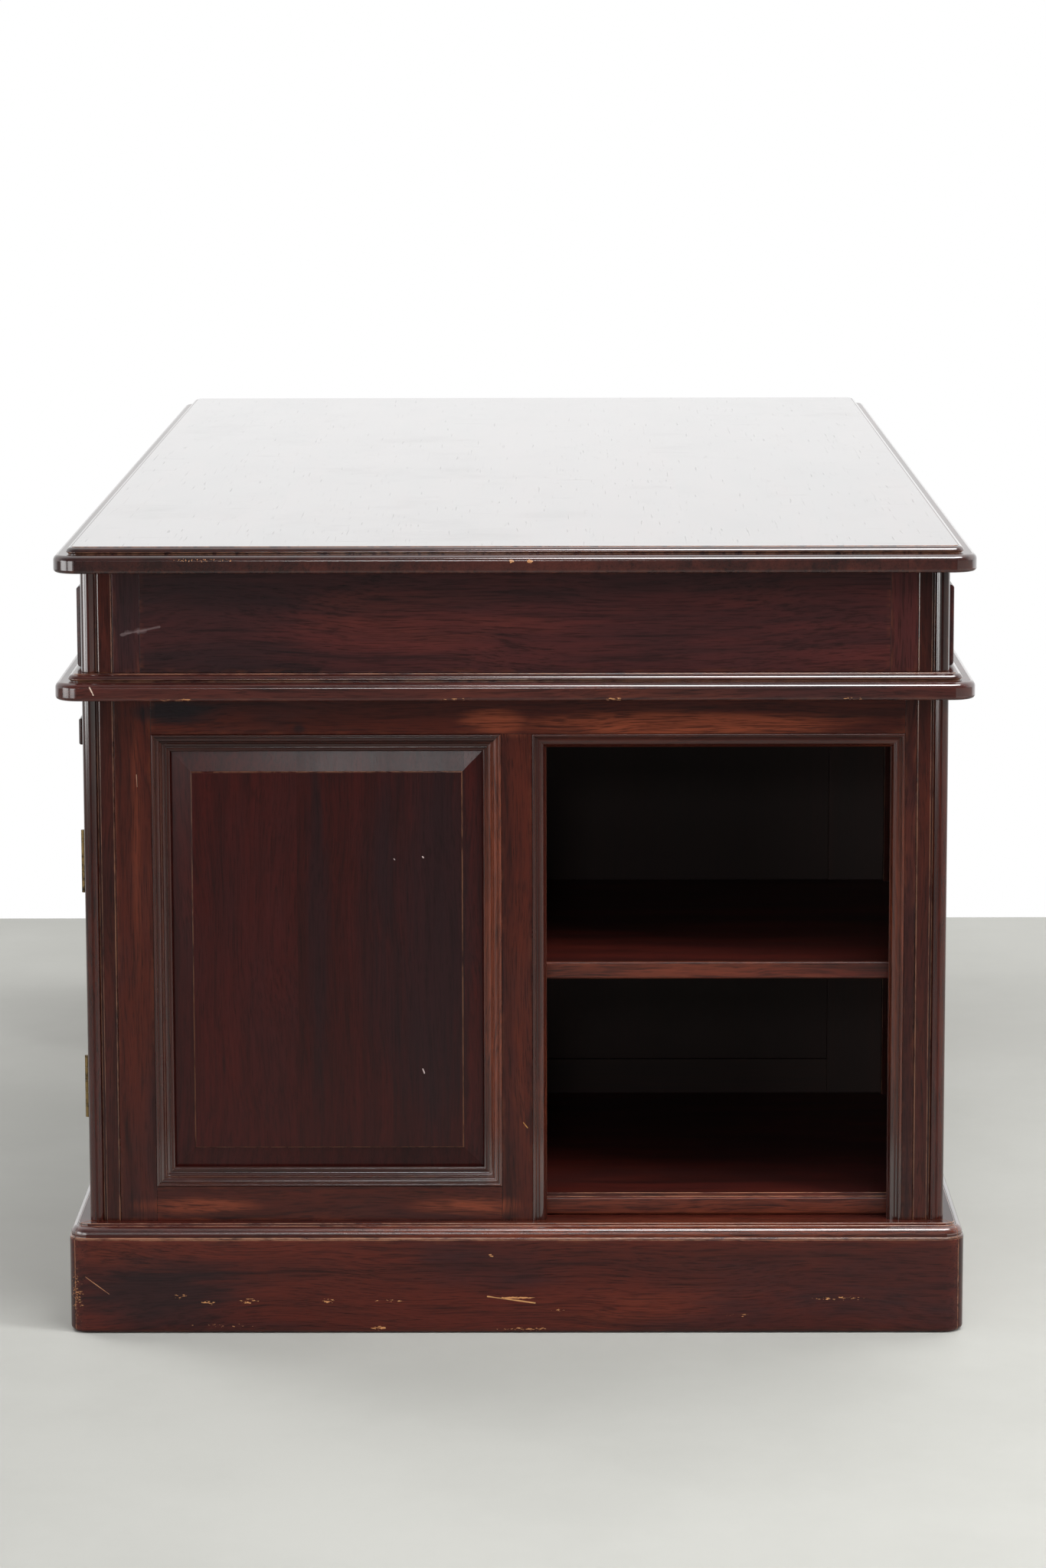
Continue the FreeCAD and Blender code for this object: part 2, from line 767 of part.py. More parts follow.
def drawer_openings():
    """Left and right edge of each drawer opening on the front."""
    half = partition_thickness / 2
    outer = post_inner_end - drawer_stile
    return {
        "left": (-outer, -divider_place - half),
        "middle": (-divider_place + half, divider_place - half),
        "right": (divider_place + half, outer),
    }


def drawer_front(x0, x1, knob_places):
    """A lipped front whose lip laps the frame all round, with its turned knobs."""
    opening_top = top_level - frieze_rail_height
    outside = -side_face - lip_thickness
    lip = box(x0 - drawer_lip, x1 + drawer_lip, outside, -side_face,
              frieze_level + lip_lower_gap, opening_top + drawer_lip + lip_lower_gap)
    lip = rounded_front(lip, outside, lip_radius)
    rebated = box(x0 + drawer_side_gap, x1 - drawer_side_gap, -side_face, -side_face + drawer_rebate,
                  drawer_floor() + drawer_clearance, opening_top - drawer_side_gap)
    front = lip.fuse(rebated).removeSplitter()
    level = (frieze_level + opening_top + drawer_lip) / 2
    return [front] + [knob(drawer_knob_radius, drawer_knob_reach, x, outside, level)
                      for x in knob_places]


def drawer_box(x0, x1):
    """Two sides, a back and a bottom, open at the top."""
    left, right = x0 + drawer_side_gap, x1 - drawer_side_gap
    low = drawer_floor() + drawer_clearance
    high = top_level - frieze_rail_height - drawer_side_drop
    front = -side_face + drawer_rebate
    back = -partition_thickness / 2 - drawer_back_gap
    wall = drawer_side_thickness
    base = low + drawer_bottom_lift
    base_top = base + drawer_bottom_thickness
    return [
        box(left, left + wall, front, back, low, high),
        box(right - wall, right, front, back, low, high),
        box(left + wall, right - wall, back - wall, back, base_top, high),
        box(left + wall, right - wall, front, back, base, base_top),
    ]


def save(name, pieces, angle=0):
    """One STEP file for one sub-part; a group of separate solids is kept as a compound."""
    placed = [turned(piece, angle) for piece in pieces]
    shape = placed[0] if len(placed) == 1 else Part.makeCompound(placed)
    shape.exportStep("parts/" + name + ".step")


def save_pedestal(side, angle):
    waist = slab(knee_face - slab_overhang, end_face + slab_overhang,
                 -desk_depth / 2, desk_depth / 2, waist_level, waist_thickness)
    pieces = {
        "plinth": plinth(),
        "floor": pedestal_floor(),
        "waist_slab": [waist],
        "posts": corner_posts(knee_face, end_face, cap_level, pedestal_height),
        "end_frame": end_frame(),
        "end_mouldings": end_mouldings(),
        "end_panel": end_panel(),
        "niche_shelf": niche_shelf(),
        "knee_frame": knee_frame(),
        "knee_panels": knee_panels(),
        "divider": divider(),
        "side_frame": side_frame(),
        "side_panel": side_panel(),
        "slide_case": slide_case(),
        "cupboard_shelf": cupboard_shelf(),
        "hinge_post_halves": hinge_post_halves(),
        "hinge_door_halves": hinge_door_halves(),
        "door_frame": door_frame(),
        "door_panel": door_panel(),
        "slide": slide(),
    }
    for name, solids in pieces.items():
        save(side + "_" + name, solids, angle)


def save_frieze():
    writing_top = slab(-desk_length / 2, desk_length / 2, -desk_depth / 2, desk_depth / 2,
                       top_level, top_thickness)
    save("top", [writing_top])
    save("frieze_posts", corner_posts(-end_face, end_face, frieze_level, frieze_height))
    save("frieze_end_right", frieze_end())
    save("frieze_end_left", frieze_end(), 180)
    save("frieze_rails", frieze_rails())
    save("frieze_floor", frieze_floor())
    save("frieze_partitions", frieze_partitions())


def save_drawers():
    """Three drawers on the front, and the same three turned half round on the back."""
    opposite = {"left": "right", "middle": "middle", "right": "left"}
    for place, (x0, x1) in drawer_openings().items():
        knob_places = [(x0 + x1) / 2]
        if place == "middle":
            knob_places = [x0 + middle_knob_inset, x1 - middle_knob_inset]
        front = drawer_front(x0, x1, knob_places)
        body = drawer_box(x0, x1)
        for row, side, angle in (("front", place, 0), ("back", opposite[place], 180)):
            save(row + "_drawer_" + side + "_front", front, angle)
            save(row + "_drawer_" + side + "_box", body, angle)


os.makedirs("parts", exist_ok=True)
for pedestal, half_turn in (("right", 0), ("left", 180)):
    save_pedestal(pedestal, half_turn)
save_frieze()
save_drawers()
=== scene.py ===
import bpy
import math
import random
from mathutils import Matrix, Quaternion, Vector


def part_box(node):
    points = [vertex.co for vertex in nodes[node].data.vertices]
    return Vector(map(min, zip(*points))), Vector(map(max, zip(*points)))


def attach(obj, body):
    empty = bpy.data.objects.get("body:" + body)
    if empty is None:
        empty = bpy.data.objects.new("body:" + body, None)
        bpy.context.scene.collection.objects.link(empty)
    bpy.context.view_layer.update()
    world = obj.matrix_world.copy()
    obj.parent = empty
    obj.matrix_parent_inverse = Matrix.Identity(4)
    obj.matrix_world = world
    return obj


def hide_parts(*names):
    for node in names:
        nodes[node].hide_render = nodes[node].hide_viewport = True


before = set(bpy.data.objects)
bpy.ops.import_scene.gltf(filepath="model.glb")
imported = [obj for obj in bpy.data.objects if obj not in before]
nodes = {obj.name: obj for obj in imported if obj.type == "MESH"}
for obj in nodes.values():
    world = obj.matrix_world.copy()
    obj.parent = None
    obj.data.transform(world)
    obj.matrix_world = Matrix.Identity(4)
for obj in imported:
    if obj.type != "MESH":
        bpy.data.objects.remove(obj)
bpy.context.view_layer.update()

# Plinths: mitred mahogany boards with rounded corners under a moulded cap frame, one plinth to each
# pedestal. They are stained and polished like the rest, and kicked and scuffed near the floor.

MICRONS = 1e6                                  # in a metre
FLAT_WITHIN = math.radians(0.5)                # triangles turned less than this are one flat face
FIELD_EDGE = math.radians(6)                   # where the raised field of a panel begins
ARRIS_FROM = math.radians(38)                  # an edge as sharp as this is an arris, and is eased
ARRIS_STEPS = 2
SMOOTH_BELOW = math.radians(50)
MOULDED_FROM = math.cos(math.radians(8))       # a face turned more than this is worked, not sawn
UNDERSIDE = -0.1                               # a face that looks further down is left unpolished
GRAIN_ALONG = {"X": 0, "Y": 1, "Z": 2}


def separate_boards(node):
    """The boards of a CAD node, each as (points, triangles); a board ends when it is closed."""
    mesh = nodes[node].data
    keys = [tuple(round(c * MICRONS) for c in v.co) for v in mesh.vertices]
    boards, points, triangles, open_edges = [], {}, [], set()
    for polygon in mesh.polygons:
        corners = [keys[i] for i in polygon.vertices]
        triangles.append([points.setdefault(corner, len(points)) for corner in corners])
        for edge in zip(corners, corners[1:] + corners[:1]):
            if edge[::-1] in open_edges:
                open_edges.discard(edge[::-1])
            else:
                open_edges.add(edge)
        if not open_edges:
            boards.append(([Vector(point) * (1 / MICRONS) for point in points], triangles))
            points, triangles = {}, []
    return boards


def store(board, name, kind, domain, values):
    """Keeps a number or a vector for each point or face of a board, for its finish to read."""
    held = "vector" if kind == "FLOAT_VECTOR" else "value"
    board.data.attributes.new(name, kind, domain).data.foreach_set(held, values)


def clean_board(name, points, triangles, ease, fielded):
    """One board, its flat faces whole and its arrises eased; eased and moulded faces are marked."""
    mesh = bpy.data.meshes.new(name)
    mesh.from_pydata(points, [], triangles)
    mesh.materials.append(None)
    mesh.materials.append(None)      # the bevel below puts its faces in this second place
    board = bpy.data.objects.new(name, mesh)
    bpy.context.scene.collection.objects.link(board)
    bpy.ops.object.select_all(action="DESELECT")
    board.select_set(True)
    bpy.context.view_layer.objects.active = board
    bpy.ops.object.mode_set(mode="EDIT")
    bpy.ops.mesh.select_all(action="SELECT")
    bpy.ops.mesh.dissolve_limited(angle_limit=FLAT_WITHIN)
    if fielded:
        bpy.ops.mesh.select_all(action="DESELECT")
        bpy.ops.mesh.edges_select_sharp(sharpness=FIELD_EDGE)
        bpy.ops.mesh.mark_sharp()
    bpy.ops.object.mode_set(mode="OBJECT")
    bevel = board.modifiers.new("eased", "BEVEL")
    bevel.width = ease
    bevel.segments = ARRIS_STEPS
    bevel.limit_method = "ANGLE"
    bevel.angle_limit = ARRIS_FROM
    bevel.material = 1
    bpy.ops.object.modifier_apply(modifier=bevel.name)
    faces = board.data.polygons
    store(board, "arris", "FLOAT", "FACE", [float(face.material_index) for face in faces])
    store(board, "moulded", "FLOAT", "FACE",
          [float(max(abs(c) for c in face.normal) < MOULDED_FROM and face.normal.z > UNDERSIDE)
           for face in faces])
    faces.foreach_set("material_index", [0] * len(faces))
    board.data.materials.clear()
    bpy.ops.object.shade_smooth_by_angle(angle=SMOOTH_BELOW, keep_sharp_edges=True)
    weighted = board.modifiers.new("weighted", "WEIGHTED_NORMAL")
    weighted.keep_sharp = True
    bpy.ops.object.modifier_apply(modifier=weighted.name)
    return board


def mark_grain(board, along):
    """Stores where each point lies in its own board, the board's size, and the tree it is from."""
    points = [v.co.copy() for v in board.data.vertices]
    low = [min(p[i] for p in points) for i in range(3)]
    high = [max(p[i] for p in points) for i in range(3)]
    spans = [h - l for l, h in zip(low, high)]
    middle = [(l + h) / 2 for l, h in zip(low, high)]
    first = GRAIN_ALONG[along] if along else spans.index(max(spans))
    order = [first] + sorted((i for i in range(3) if i != first), key=lambda i: -spans[i])
    store(board, "place", "FLOAT_VECTOR", "POINT",
          [p[i] - middle[i] for p in points for i in order])
    store(board, "half", "FLOAT_VECTOR", "POINT", [spans[i] / 2 for i in order] * len(points))
    store(board, "tree", "FLOAT", "POINT", [grown.random()] * len(points))


def joined(pieces):
    """Several pieces made into the first of them."""
    bpy.ops.object.select_all(action="DESELECT")
    for piece in pieces:
        piece.select_set(True)
    bpy.context.view_layer.objects.active = pieces[0]
    if len(pieces) > 1:
        bpy.ops.object.join()
    return pieces[0]


def joinery(node, material, body="carcass", ease=0.0005, along=None,
            fielded=False):
    """The boards of a CAD node with eased arrises and grain, standing for that node."""
    grown.seed(node)
    boards = []
    for points, triangles in separate_boards(node):
        board = clean_board(node + "_board", points, triangles, ease, fielded)
        mark_grain(board, along)
        boards.append(board)
    piece = joined(boards)
    piece.name = node + "_wood"
    piece.data.materials.clear()
    piece.data.materials.append(material)
    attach(piece, body)
    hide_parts(node)


grown = random.Random(7)


class Shade:
    """A socket of the material being mixed; arithmetic on it adds Math nodes."""
    tree = None

    def __init__(self, socket):
        self.socket = socket

    @classmethod
    def node(cls, kind, settings=None, inputs=None, output=0):
        """Adds one node: its settings first, then the values or links of its sockets."""
        made = cls.tree.nodes.new(kind)
        for name, value in (settings or {}).items():
            setattr(made, name, value)
        for name, value in (inputs or {}).items():
            if isinstance(value, Shade):
                cls.tree.links.new(value.socket, made.inputs[name])
            else:
                made.inputs[name].default_value = value
        return cls(made.outputs[output])

    def into(self, taker, name):
        """Links this to a named socket of a shader or of the material's output."""
        Shade.tree.links.new(self.socket, taker.inputs[name])

    def math(self, operation, other=0.0):
        return Shade.node("ShaderNodeMath", {"operation": operation}, {0: self, 1: other})

    def __add__(self, other):
        return self.math("ADD", other)

    def __radd__(self, other):
        return self.math("ADD", other)

    def __sub__(self, other):
        return self.math("SUBTRACT", other)

    def __rsub__(self, other):
        return Shade.node("ShaderNodeMath", {"operation": "SUBTRACT"}, {0: other, 1: self})

    def __mul__(self, other):
        return self.math("MULTIPLY", other)

    def __rmul__(self, other):
        return self.math("MULTIPLY", other)

    def least(self, other):
        return self.math("MINIMUM", other)

    def most(self, other):
        return self.math("MAXIMUM", other)

    def rise(self, low, high):
        """0 below low and 1 above high, with a soft step between; falls where low is above high."""
        return Shade.node("ShaderNodeMapRange", {"interpolation_type": "SMOOTHSTEP"},
                          {"Value": self, "From Min": low, "From Max": high})

    def on_vector(self, operation, other=(0.0, 0.0, 0.0), output="Vector"):
        return Shade.node("ShaderNodeVectorMath", {"operation": operation}, {0: self, 1: other},
                          output)

    def times(self, *scale):
        """A vector scaled axis by axis."""
        return self.on_vector("MULTIPLY", scale)

    def plus(self, other):
        return self.on_vector("ADD", other)

    def minus(self, other):
        return self.on_vector("SUBTRACT", other)

    def length(self):
        return self.on_vector("LENGTH", output="Value")

    def axis(self, name):
        """The X, Y or Z of a vector."""
        return Shade.node("ShaderNodeSeparateXYZ", None, {"Vector": self}, name)

    def noise(self, detail=2.0, roughness=0.5):
        return Shade.node("ShaderNodeTexNoise", None, {
            "Vector": self, "Scale": 1.0, "Detail": detail, "Roughness": roughness})


def vector(x=0.0, y=0.0, z=0.0):
    """A vector of three values, any of them shaded."""
    return Shade.node("ShaderNodeCombineXYZ", None, {"X": x, "Y": y, "Z": z})


def where():
    """Where a point of the piece lies in the frame, in metres."""
    return Shade.node("ShaderNodeTexCoord", output="Object")


def stored(name, output="Fac"):
    """What the joiner's marks on a board say under this name."""
    return Shade.node("ShaderNodeAttribute", {"attribute_name": name}, output=output)


def colour(red, green, blue):
    """A finish colour from its screen values of 0 to 255."""
    values = [c / 255 for c in (red, green, blue)]
    return tuple(c / 12.92 if c <= 0.04045 else ((c + 0.055) / 1.055) ** 2.4
                 for c in values) + (1.0,)


AMOUNT, UNDER, OVER, MIXED = 0, 6, 7, 2        # the colour sockets of a Mix node


def laid(top, base, amount):
    """One colour over another by amount; either may be fixed."""
    return Shade.node("ShaderNodeMix", {"data_type": "RGBA"},
                      {AMOUNT: amount, UNDER: base, OVER: top}, MIXED)


def new_finish(name):
    """An empty material whose nodes Shade adds to."""
    material = bpy.data.materials.new(name)
    material.use_nodes = True
    Shade.tree = material.node_tree
    return material


def shader_of(material):
    return material.node_tree.nodes["Principled BSDF"]


def soft_spot(centre, reach, position, wander):
    """A soft-edged patch round a point, from 1 in its middle to 0 at its reach."""
    off = position.minus(centre).times(*[1 / r for r in reach])
    return (off.length() + wander).rise(1.15, 0.3)


def scratch_line(start, end, width, position, wander):
    """A thin line scratched from start to end, broken here and there."""
    start, end = Vector(start), Vector(end)
    run = end - start
    from_start = position.minus(tuple(start))
    along_run = from_start.on_vector("DOT_PRODUCT", tuple(run / run.length_squared), "Value")
    along_run = along_run.most(0.0).least(1.0)
    reached = Shade.node("ShaderNodeVectorMath", {"operation": "SCALE"},
                         {0: tuple(run), "Scale": along_run})
    gap = from_start.minus(reached).length()
    return (gap * (1 / width) + wander).rise(1.0, 0.4)


def waves(log, along, across, detail, roughness=0.5, shift=None):
    """Noise drawn out with the grain, by its waves a metre along the board and across it."""
    drawn = log.times(along, across, across)
    if shift:
        drawn = drawn.plus(shift)
    return drawn.noise(detail, roughness)


RUBBED = colour(164, 116, 88)          # an arris where hands and feet have worn the stain away
GRIME = colour(19, 12, 11)             # polish and dirt caught along an arris
SMOKY = colour(34, 23, 26)             # clouds where the stain is heavy
# also laid as painted shade on the left of the plinth and of the frieze, where less light falls
DUSKY_AND_SHADE = colour(27, 20, 23)             # darker places along a board
# orange where the stain is thinner, also laid on given spots as painted highlight
THIN_STAIN_AND_HIGHLIGHT = colour(124, 60, 38)
DARK_FIGURE = colour(22, 10, 10)
OPEN_PORE = colour(16, 8, 8)
HANDLED = colour(128, 68, 44)
# dust and painted light: a paler grey that lifts the shaded inside of the open niche
NICHE_DUST_AND_LIGHT = colour(64, 54, 51)
BARE = colour(188, 132, 86)

STAVE_SHIFT = 0.18                     # how far the first joint is from the middle, in staves
STAVE_TREE = 0.37                      # how much the wood of one stave differs from the next

# walls of the space inside a pedestal, each with its soft edge; length times breadth is above 0 on
# the niche's side of it
KNEE_WALL, END_WALL, LONG_WALL = (0.3880, 0.3885), (0.8560, 0.8555), (0.4060, 0.4055)
NICHE_SIDE = (0.001, 0.003)


def mahogany(name, dark, light, figure=0.6, glow=0.5, dusk=0.5, arris=(RUBBED, 0.5), gloss=0.3,
             sheen=0.3, grain=1.0, stave=0.0, glow_and_highlight_spots=(), dusk_and_shade_spots=(), bare_spots=(),
             scratches=(), niche_dust_and_light=False):
    """Stained and polished mahogany: red-brown with dusky clouds, orange where the stain is
    thinner, fine dark pores along the grain, and arrises rubbed pale or filled with grime. Glow
    spots lay that orange, on some pieces as painted highlight; dusk spots darken, on some pieces
    as painted shade; inside the niche a paler grey is dust and painted light. A spot is its
    centre, its reach each way and its strength. A scratch is its ends, width, colour, strength."""
    material = new_finish(name)
    place, half = stored("place", "Vector"), stored("half", "Vector")
    tree, eased = stored("tree"), stored("arris")
    position = where()
    if stave:
        plank = ((place.axis("Y") + stave * STAVE_SHIFT) * (1 / stave)).math("FLOOR")
        tree = (plank * STAVE_TREE + tree).math("FRACT")
    log = place.plus(vector(tree * 17.0, tree * 29.0, tree * 41.0))

    sway = waves(log, 2.4, 7.0, 2.0) * 0.06
    swayed = log.plus(vector(y=sway, z=sway))
    band = waves(swayed, 1.5, 30.0, 3.0, 0.6)
    streak = waves(swayed, 7.0, 190.0, 4.0, 0.65)
    fibre = waves(swayed, 22.0, 620.0, 2.0, 0.6)
    pore = waves(log, 60.0, 1500.0, 1.0)
    cloud = waves(log, 3.6, 11.0, 4.0, 0.6)
    bloom = waves(log, 3.0, 14.0, 4.0, 0.6, shift=(3.0, 7.0, 11.0))
    rub = waves(log, 28.0, 90.0, 3.0, 0.7)

    # stain, from the broad figure down to the pores, with painted highlight and painted shade on
    # given spots
    warmth = (band - 0.5) * (2.6 * figure) + (streak - 0.5) * 0.8 + tree * 0.3 + 0.35
    base = laid(light, dark, warmth.rise(0.0, 1.0))
    base = laid(SMOKY, base, (cloud + (streak - 0.5) * 0.3).rise(0.46, 0.74) * dusk)
    wander = (bloom - 0.5) * 1.6 + (streak - 0.5) * 0.9
    thin_stain_and_highlight = bloom.rise(0.52, 0.78) * glow
    # given spots of the same orange; on the plinth cap and the shelf edges they are painted
    # highlight
    for centre, reach, strength in glow_and_highlight_spots:
        thin_stain_and_highlight = thin_stain_and_highlight.most(soft_spot(centre, reach, position, wander) * strength)
    base = laid(THIN_STAIN_AND_HIGHLIGHT, base, thin_stain_and_highlight * (streak + fibre * 0.6).rise(0.35, 1.05))
    # given darker spots; on the left of the plinth and of the frieze they are painted shade
    for centre, reach, strength in dusk_and_shade_spots:
        base = laid(DUSKY_AND_SHADE, base, soft_spot(centre, reach, position, wander) * strength)
    base = laid(DARK_FIGURE, base, streak.rise(0.46, 0.30) * (0.32 * grain))
    base = laid(DARK_FIGURE, base, fibre.rise(0.52, 0.34) * (0.5 * grain))
    base = laid(OPEN_PORE, base, pore.rise(0.60, 0.72) * 0.5)

    # handled edges of the board, then the eased arris itself
    room = half.minus(place.on_vector("ABSOLUTE"))
    along, across, deep = room.axis("X"), room.axis("Y"), room.axis("Z")
    edge = along.least(across).most(along.most(across).least(deep))
    tone, amount = arris
    handled = edge.rise(0.006, 0.0005) * rub.rise(0.45, 0.7)
    base = laid(HANDLED, base, handled * 0.35 * amount)
    rubbed = eased * rub.rise(0.32, 0.58) * amount
    base = laid(tone, base, rubbed)
    rough = gloss + (cloud - 0.5) * 0.12 + rubbed * 0.1 + fibre * 0.04

    # dust on what faces into the open niche, and painted light: its paler grey lifts that shaded
    # recess
    if niche_dust_and_light:
        length, breadth = position.axis("X"), position.axis("Y")
        niche_side = (length * breadth).rise(*NICHE_SIDE)
        length, breadth = length.math("ABSOLUTE"), breadth.math("ABSOLUTE")
        inside = length.rise(*KNEE_WALL) * length.rise(*END_WALL) * breadth.rise(*LONG_WALL)
        inside = inside * niche_side
        base = laid(NICHE_DUST_AND_LIGHT, base, inside * 0.75)
        rough = rough + inside * 0.3

    # kicks down to the bare wood, and scratches
    if bare_spots:
        fleck = waves(log, 190.0, 620.0, 2.0, 0.7)
        chafed = None
        for centre, reach, strength in bare_spots:
            mask = soft_spot(centre, reach, position, wander * 0.5) * strength
            chafed = mask if chafed is None else chafed.most(mask)
        bare = (fleck + chafed * 0.31).rise(0.89, 0.96)
        base = laid(BARE, base, bare)
        rough = rough + bare * 0.3
    for start, end, width, tone, strength in scratches:
        line = scratch_line(start, end, width, position, (rub - 0.5) * 2.5)
        base = laid(tone, base, line * strength)

    shader = shader_of(material)
    shader.inputs["Specular IOR Level"].default_value = sheen
    base.into(shader, "Base Color")
    rough.into(shader, "Roughness")
    surface = cloud * 1.6 + streak * 0.3 - pore.rise(0.5, 0.75) * 0.25
    level_finish = min(1.0, gloss / 0.2)
    Shade.node("ShaderNodeBump", None, {
        "Strength": 0.12 * grain * level_finish, "Distance": 0.0004, "Height": surface,
    }).into(shader, "Normal")
    return material


def polish_mouldings(material, strength=1.0, flats=0.0, blur=0.14):
    """A thick bright coat of polish on the moulded parts of a piece, and the flats where given."""
    shader = shader_of(material)
    shader.inputs["Coat IOR"].default_value = 2.0
    shader.inputs["Coat Roughness"].default_value = blur
    (stored("moulded") * strength).most(flats).into(shader, "Coat Weight")


def spots_on(end_x, *rows, deep=0.05):
    """Spots on an end of the desk, by y, z, reach across, reach up and strength."""
    return [((end_x, y, z), (deep, across, up), strength) for y, z, across, up, strength in rows]


def scratches_on(end_x, *rows):
    """Scratches on an end of the desk, by y and z of both ends, width, colour and strength."""
    return [((end_x, y, z), (end_x, to_y, to_z), width, tone, strength)
            for y, z, to_y, to_z, width, tone, strength in rows]


PLINTH_FACE, PLINTH_ROUND, CAP_FACE = 0.9, 0.895, 0.89
kicks = spots_on(
    PLINTH_FACE,
    (-0.333, 0.037, 0.012, 0.005, 1.0),
    (-0.306, 0.031, 0.010, 0.006, 1.1),
    (-0.268, 0.033, 0.016, 0.006, 1.1),
    (-0.187, 0.033, 0.014, 0.004, 1.1),
    (-0.126, 0.033, 0.036, 0.002, 1.0),
    (0.000, 0.036, 0.026, 0.0016, 1.9),
    (0.041, 0.024, 0.016, 0.003, 1.2),
    (0.320, 0.035, 0.05, 0.003, 1.1),
    (-0.137, 0.005, 0.012, 0.004, 1.4),
    (0.012, 0.004, 0.05, 0.003, 1.2),
    (0.220, 0.018, 0.024, 0.003, 1.0))
kicks += spots_on(PLINTH_FACE, (-0.44, 0.04, 0.016, 0.05, 1.1), deep=0.03)
kicks += spots_on(PLINTH_FACE, (-0.025, 0.079, 0.004, 0.003, 1.5), (-0.29, 0.008, 0.08, 0.003, 0.9))
scrapes = scratches_on(
    PLINTH_ROUND,
    (-0.4435, 0.069, -0.405, 0.040, 0.0005, colour(170, 120, 88), 0.8),
    (-0.0287, 0.0374, 0.0184, 0.0308, 0.0009, colour(190, 140, 92), 1.0))
# painted shade: the left end of the plinth darker, where less light falls
low_corner_shade = spots_on(
    PLINTH_FACE,
    (-0.36, 0.045, 0.10, 0.05, 0.8),
    deep=0.08)
# painted highlight: a pale warm sheen laid along the right part of the cap moulding
cap_highlight = spots_on(
    CAP_FACE,
    (0.25, 0.104, 0.5, 0.009, 0.7),
    deep=0.03)
CAP_FOOT = (0.094, 0.098)              # the height at which the cap moulding begins
plinth_wood = mahogany(
    "plinth_mahogany", colour(37, 16, 15), colour(80, 30, 22), glow=0.25, dusk=0.8,
    arris=(RUBBED, 0.6), gloss=0.2, sheen=0.22, bare_spots=kicks, scratches=scrapes,
    dusk_and_shade_spots=low_corner_shade, glow_and_highlight_spots=cap_highlight)
polish_mouldings(plinth_wood, strength=where().axis("Z").rise(*CAP_FOOT), blur=0.22)
for side in ("right", "left"):
    joinery(side + "_plinth", plinth_wood, ease=0.0006)

# Floors, shelves and the divider of each pedestal: plain boards inside, stained dark and left dull,
# with a rounded front edge where they show in the open niche.

SHELF_FACE = 0.853
# orange along the front edges of the floor and niche shelf: stain, and painted highlight where the
# edges catch the light
shelf_edge_glow_and_highlight = spots_on(
    SHELF_FACE,
    (0.16, 0.36, 0.26, 0.03, 0.5),
    (0.16, 0.12, 0.26, 0.03, 0.5),
    deep=0.006)
shelf_wood = mahogany(
    "shelf_mahogany", colour(38, 17, 15), colour(82, 30, 23), glow=0.2, dusk=0.65,
    arris=(RUBBED, 0.8), gloss=0.34, sheen=0.3, glow_and_highlight_spots=shelf_edge_glow_and_highlight)
# painted light: these colours are made paler to lift the shaded niche, where the divider shows
inner_wood = mahogany(
    "inner_mahogany", colour(62, 49, 45), colour(102, 78, 67), figure=0.5, glow=0.0, dusk=0.4,
    arris=(GRIME, 0.2), gloss=0.5)
for side in ("right", "left"):
    joinery(side + "_floor", shelf_wood, along="Y")
    joinery(side + "_niche_shelf", shelf_wood, along="Y")
    joinery(side + "_divider", inner_wood)
    joinery(side + "_cupboard_shelf", inner_wood, along="X")

# Corner posts: square mahogany posts with a bead and two quirks worked on the outer corner. They
# are polished bright on the bead and rubbed pale along the arrises.

POST_SHINE = (0.48, 0.66)              # between these heights the shine of the bead grows
post_wood = mahogany(
    "post_mahogany", colour(34, 15, 13), colour(70, 28, 20), glow=0.3, dusk=0.5,
    arris=(RUBBED, 0.3), gloss=0.15, sheen=0.25)
polish_mouldings(post_wood, strength=where().axis("Z").rise(*POST_SHINE) * 0.8 + 0.2)
for side in ("right", "left"):
    joinery(side + "_posts", post_wood, ease=0.0008)
joinery("frieze_posts", post_wood, ease=0.0008)

# End of each pedestal: stiles, rails and a muntin round a raised and fielded panel and the open
# niche, with mitred mouldings let in round both.

FRAME_FACE, FIELD_FACE = 0.875, 0.869
end_glow = spots_on(
    FRAME_FACE,
    (-0.02, 0.612, 0.035, 0.016, 1.0),
    (0.17, 0.609, 0.18, 0.014, 1.0),
    (-0.312, 0.125, 0.07, 0.010, 0.8),
    (-0.05, 0.125, 0.06, 0.011, 0.8),
    (-0.373, 0.50, 0.007, 0.16, 0.3))
end_dusk = spots_on(
    FRAME_FACE,
    (-0.335, 0.622, 0.06, 0.014, 1.0),
    (-0.212, 0.606, 0.007, 0.005, 0.7))
nicks = scratches_on(
    FRAME_FACE,
    (0.0072, 0.2098, 0.0112, 0.2045, 0.0008, colour(176, 124, 70), 0.9),
    (-0.372, 0.560, -0.3715, 0.548, 0.0005, colour(176, 140, 118), 0.6))
frame_wood = mahogany(
    "frame_mahogany", colour(34, 14, 12), colour(71, 27, 18), glow=0.5, dusk=0.6,
    arris=(GRIME, 0.5), gloss=0.22, sheen=0.24, glow_and_highlight_spots=end_glow, dusk_and_shade_spots=end_dusk,
    scratches=nicks, niche_dust_and_light=True)

BOTTOM_MOULDING = (0.21, 0.16)         # down between these heights the shine grows
gilded = spots_on(
    FRAME_FACE,
    (-0.02, 0.36, 0.014, 0.26, 0.9),
    (0.38, 0.36, 0.014, 0.26, 0.4))
moulding_wood = mahogany(
    "moulding_mahogany", colour(32, 14, 12), colour(62, 26, 19), figure=0.2, glow=0.4, dusk=0.2,
    arris=(RUBBED, 0.14), gloss=0.14, sheen=0.4, grain=0.4, glow_and_highlight_spots=gilded)
polish_mouldings(moulding_wood, strength=where().axis("Z").rise(*BOTTOM_MOULDING) * 0.5 + 0.14)

